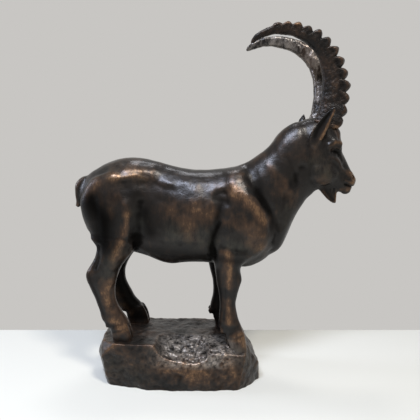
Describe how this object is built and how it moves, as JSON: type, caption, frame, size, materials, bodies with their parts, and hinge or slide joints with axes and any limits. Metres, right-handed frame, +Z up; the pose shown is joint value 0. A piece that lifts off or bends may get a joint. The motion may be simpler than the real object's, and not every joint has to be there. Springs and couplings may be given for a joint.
{
  "type": "goat figurine",
  "caption": "Standing ibex with ridged, back-curved horns and a short beard, on a broken rock; cast in one piece with a flat underside.",
  "frame": {"origin": "middle of the rock's flat underside", "axes": "+X the way the goat faces, +Y towards its left flank, +Z up"},
  "size_m": [0.2795, 0.0917, 0.3477],
  "materials": {
    "patinated_bronze": "near-black brown patina, waxed, rubbed to warm brown on the high places"
  },
  "bodies": {
    "root": {"ibex_on_rock": "patinated_bronze"}
  },
  "joints": []
}
